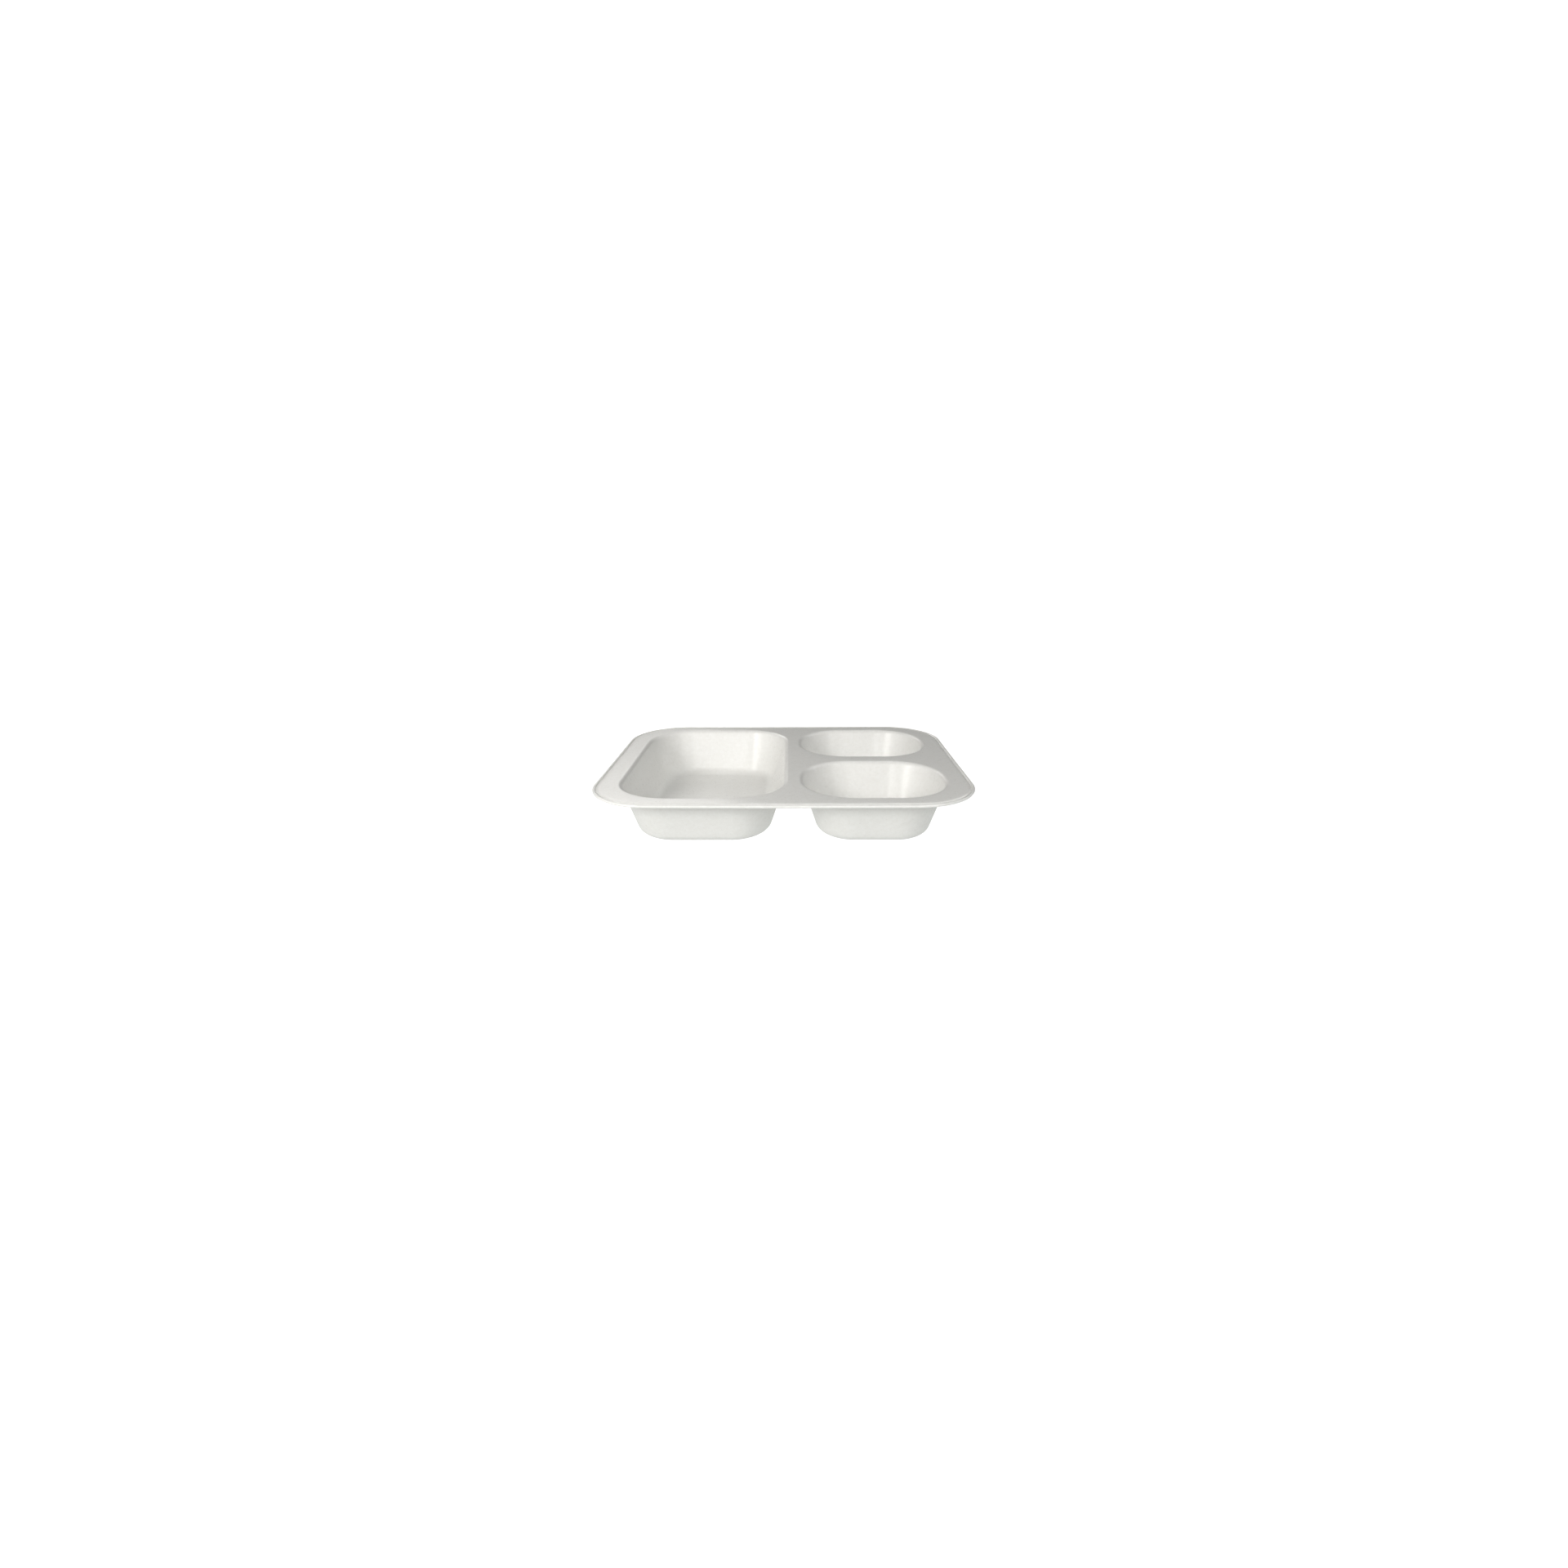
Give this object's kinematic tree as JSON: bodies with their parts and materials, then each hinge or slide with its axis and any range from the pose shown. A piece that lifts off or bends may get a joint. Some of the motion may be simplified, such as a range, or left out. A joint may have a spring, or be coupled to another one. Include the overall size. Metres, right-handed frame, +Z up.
{
  "type": "compartment tray",
  "caption": "Shallow rectangular meal tray moulded from thin white sheet, with a large basin, smaller side basins, a flat deck between them and a rolled rim.",
  "frame": {"origin": "centre of the base, on the level that the basin floors rest on", "axes": "+X along the tray towards the side basins, +Y across it towards the rear side basin, +Z up out of the basins"},
  "size_m": [0.227, 0.178, 0.0322],
  "materials": {
    "white_sheet": "satin, fine mottled grain"
  },
  "bodies": {
    "root": {"rolled_rim": "white_sheet", "deck": "white_sheet", "main_basin_wall": "white_sheet", "main_basin_floor": "white_sheet", "front_side_basin_wall": "white_sheet", "front_side_basin_floor": "white_sheet", "rear_side_basin_wall": "white_sheet", "rear_side_basin_floor": "white_sheet"}
  },
  "joints": []
}
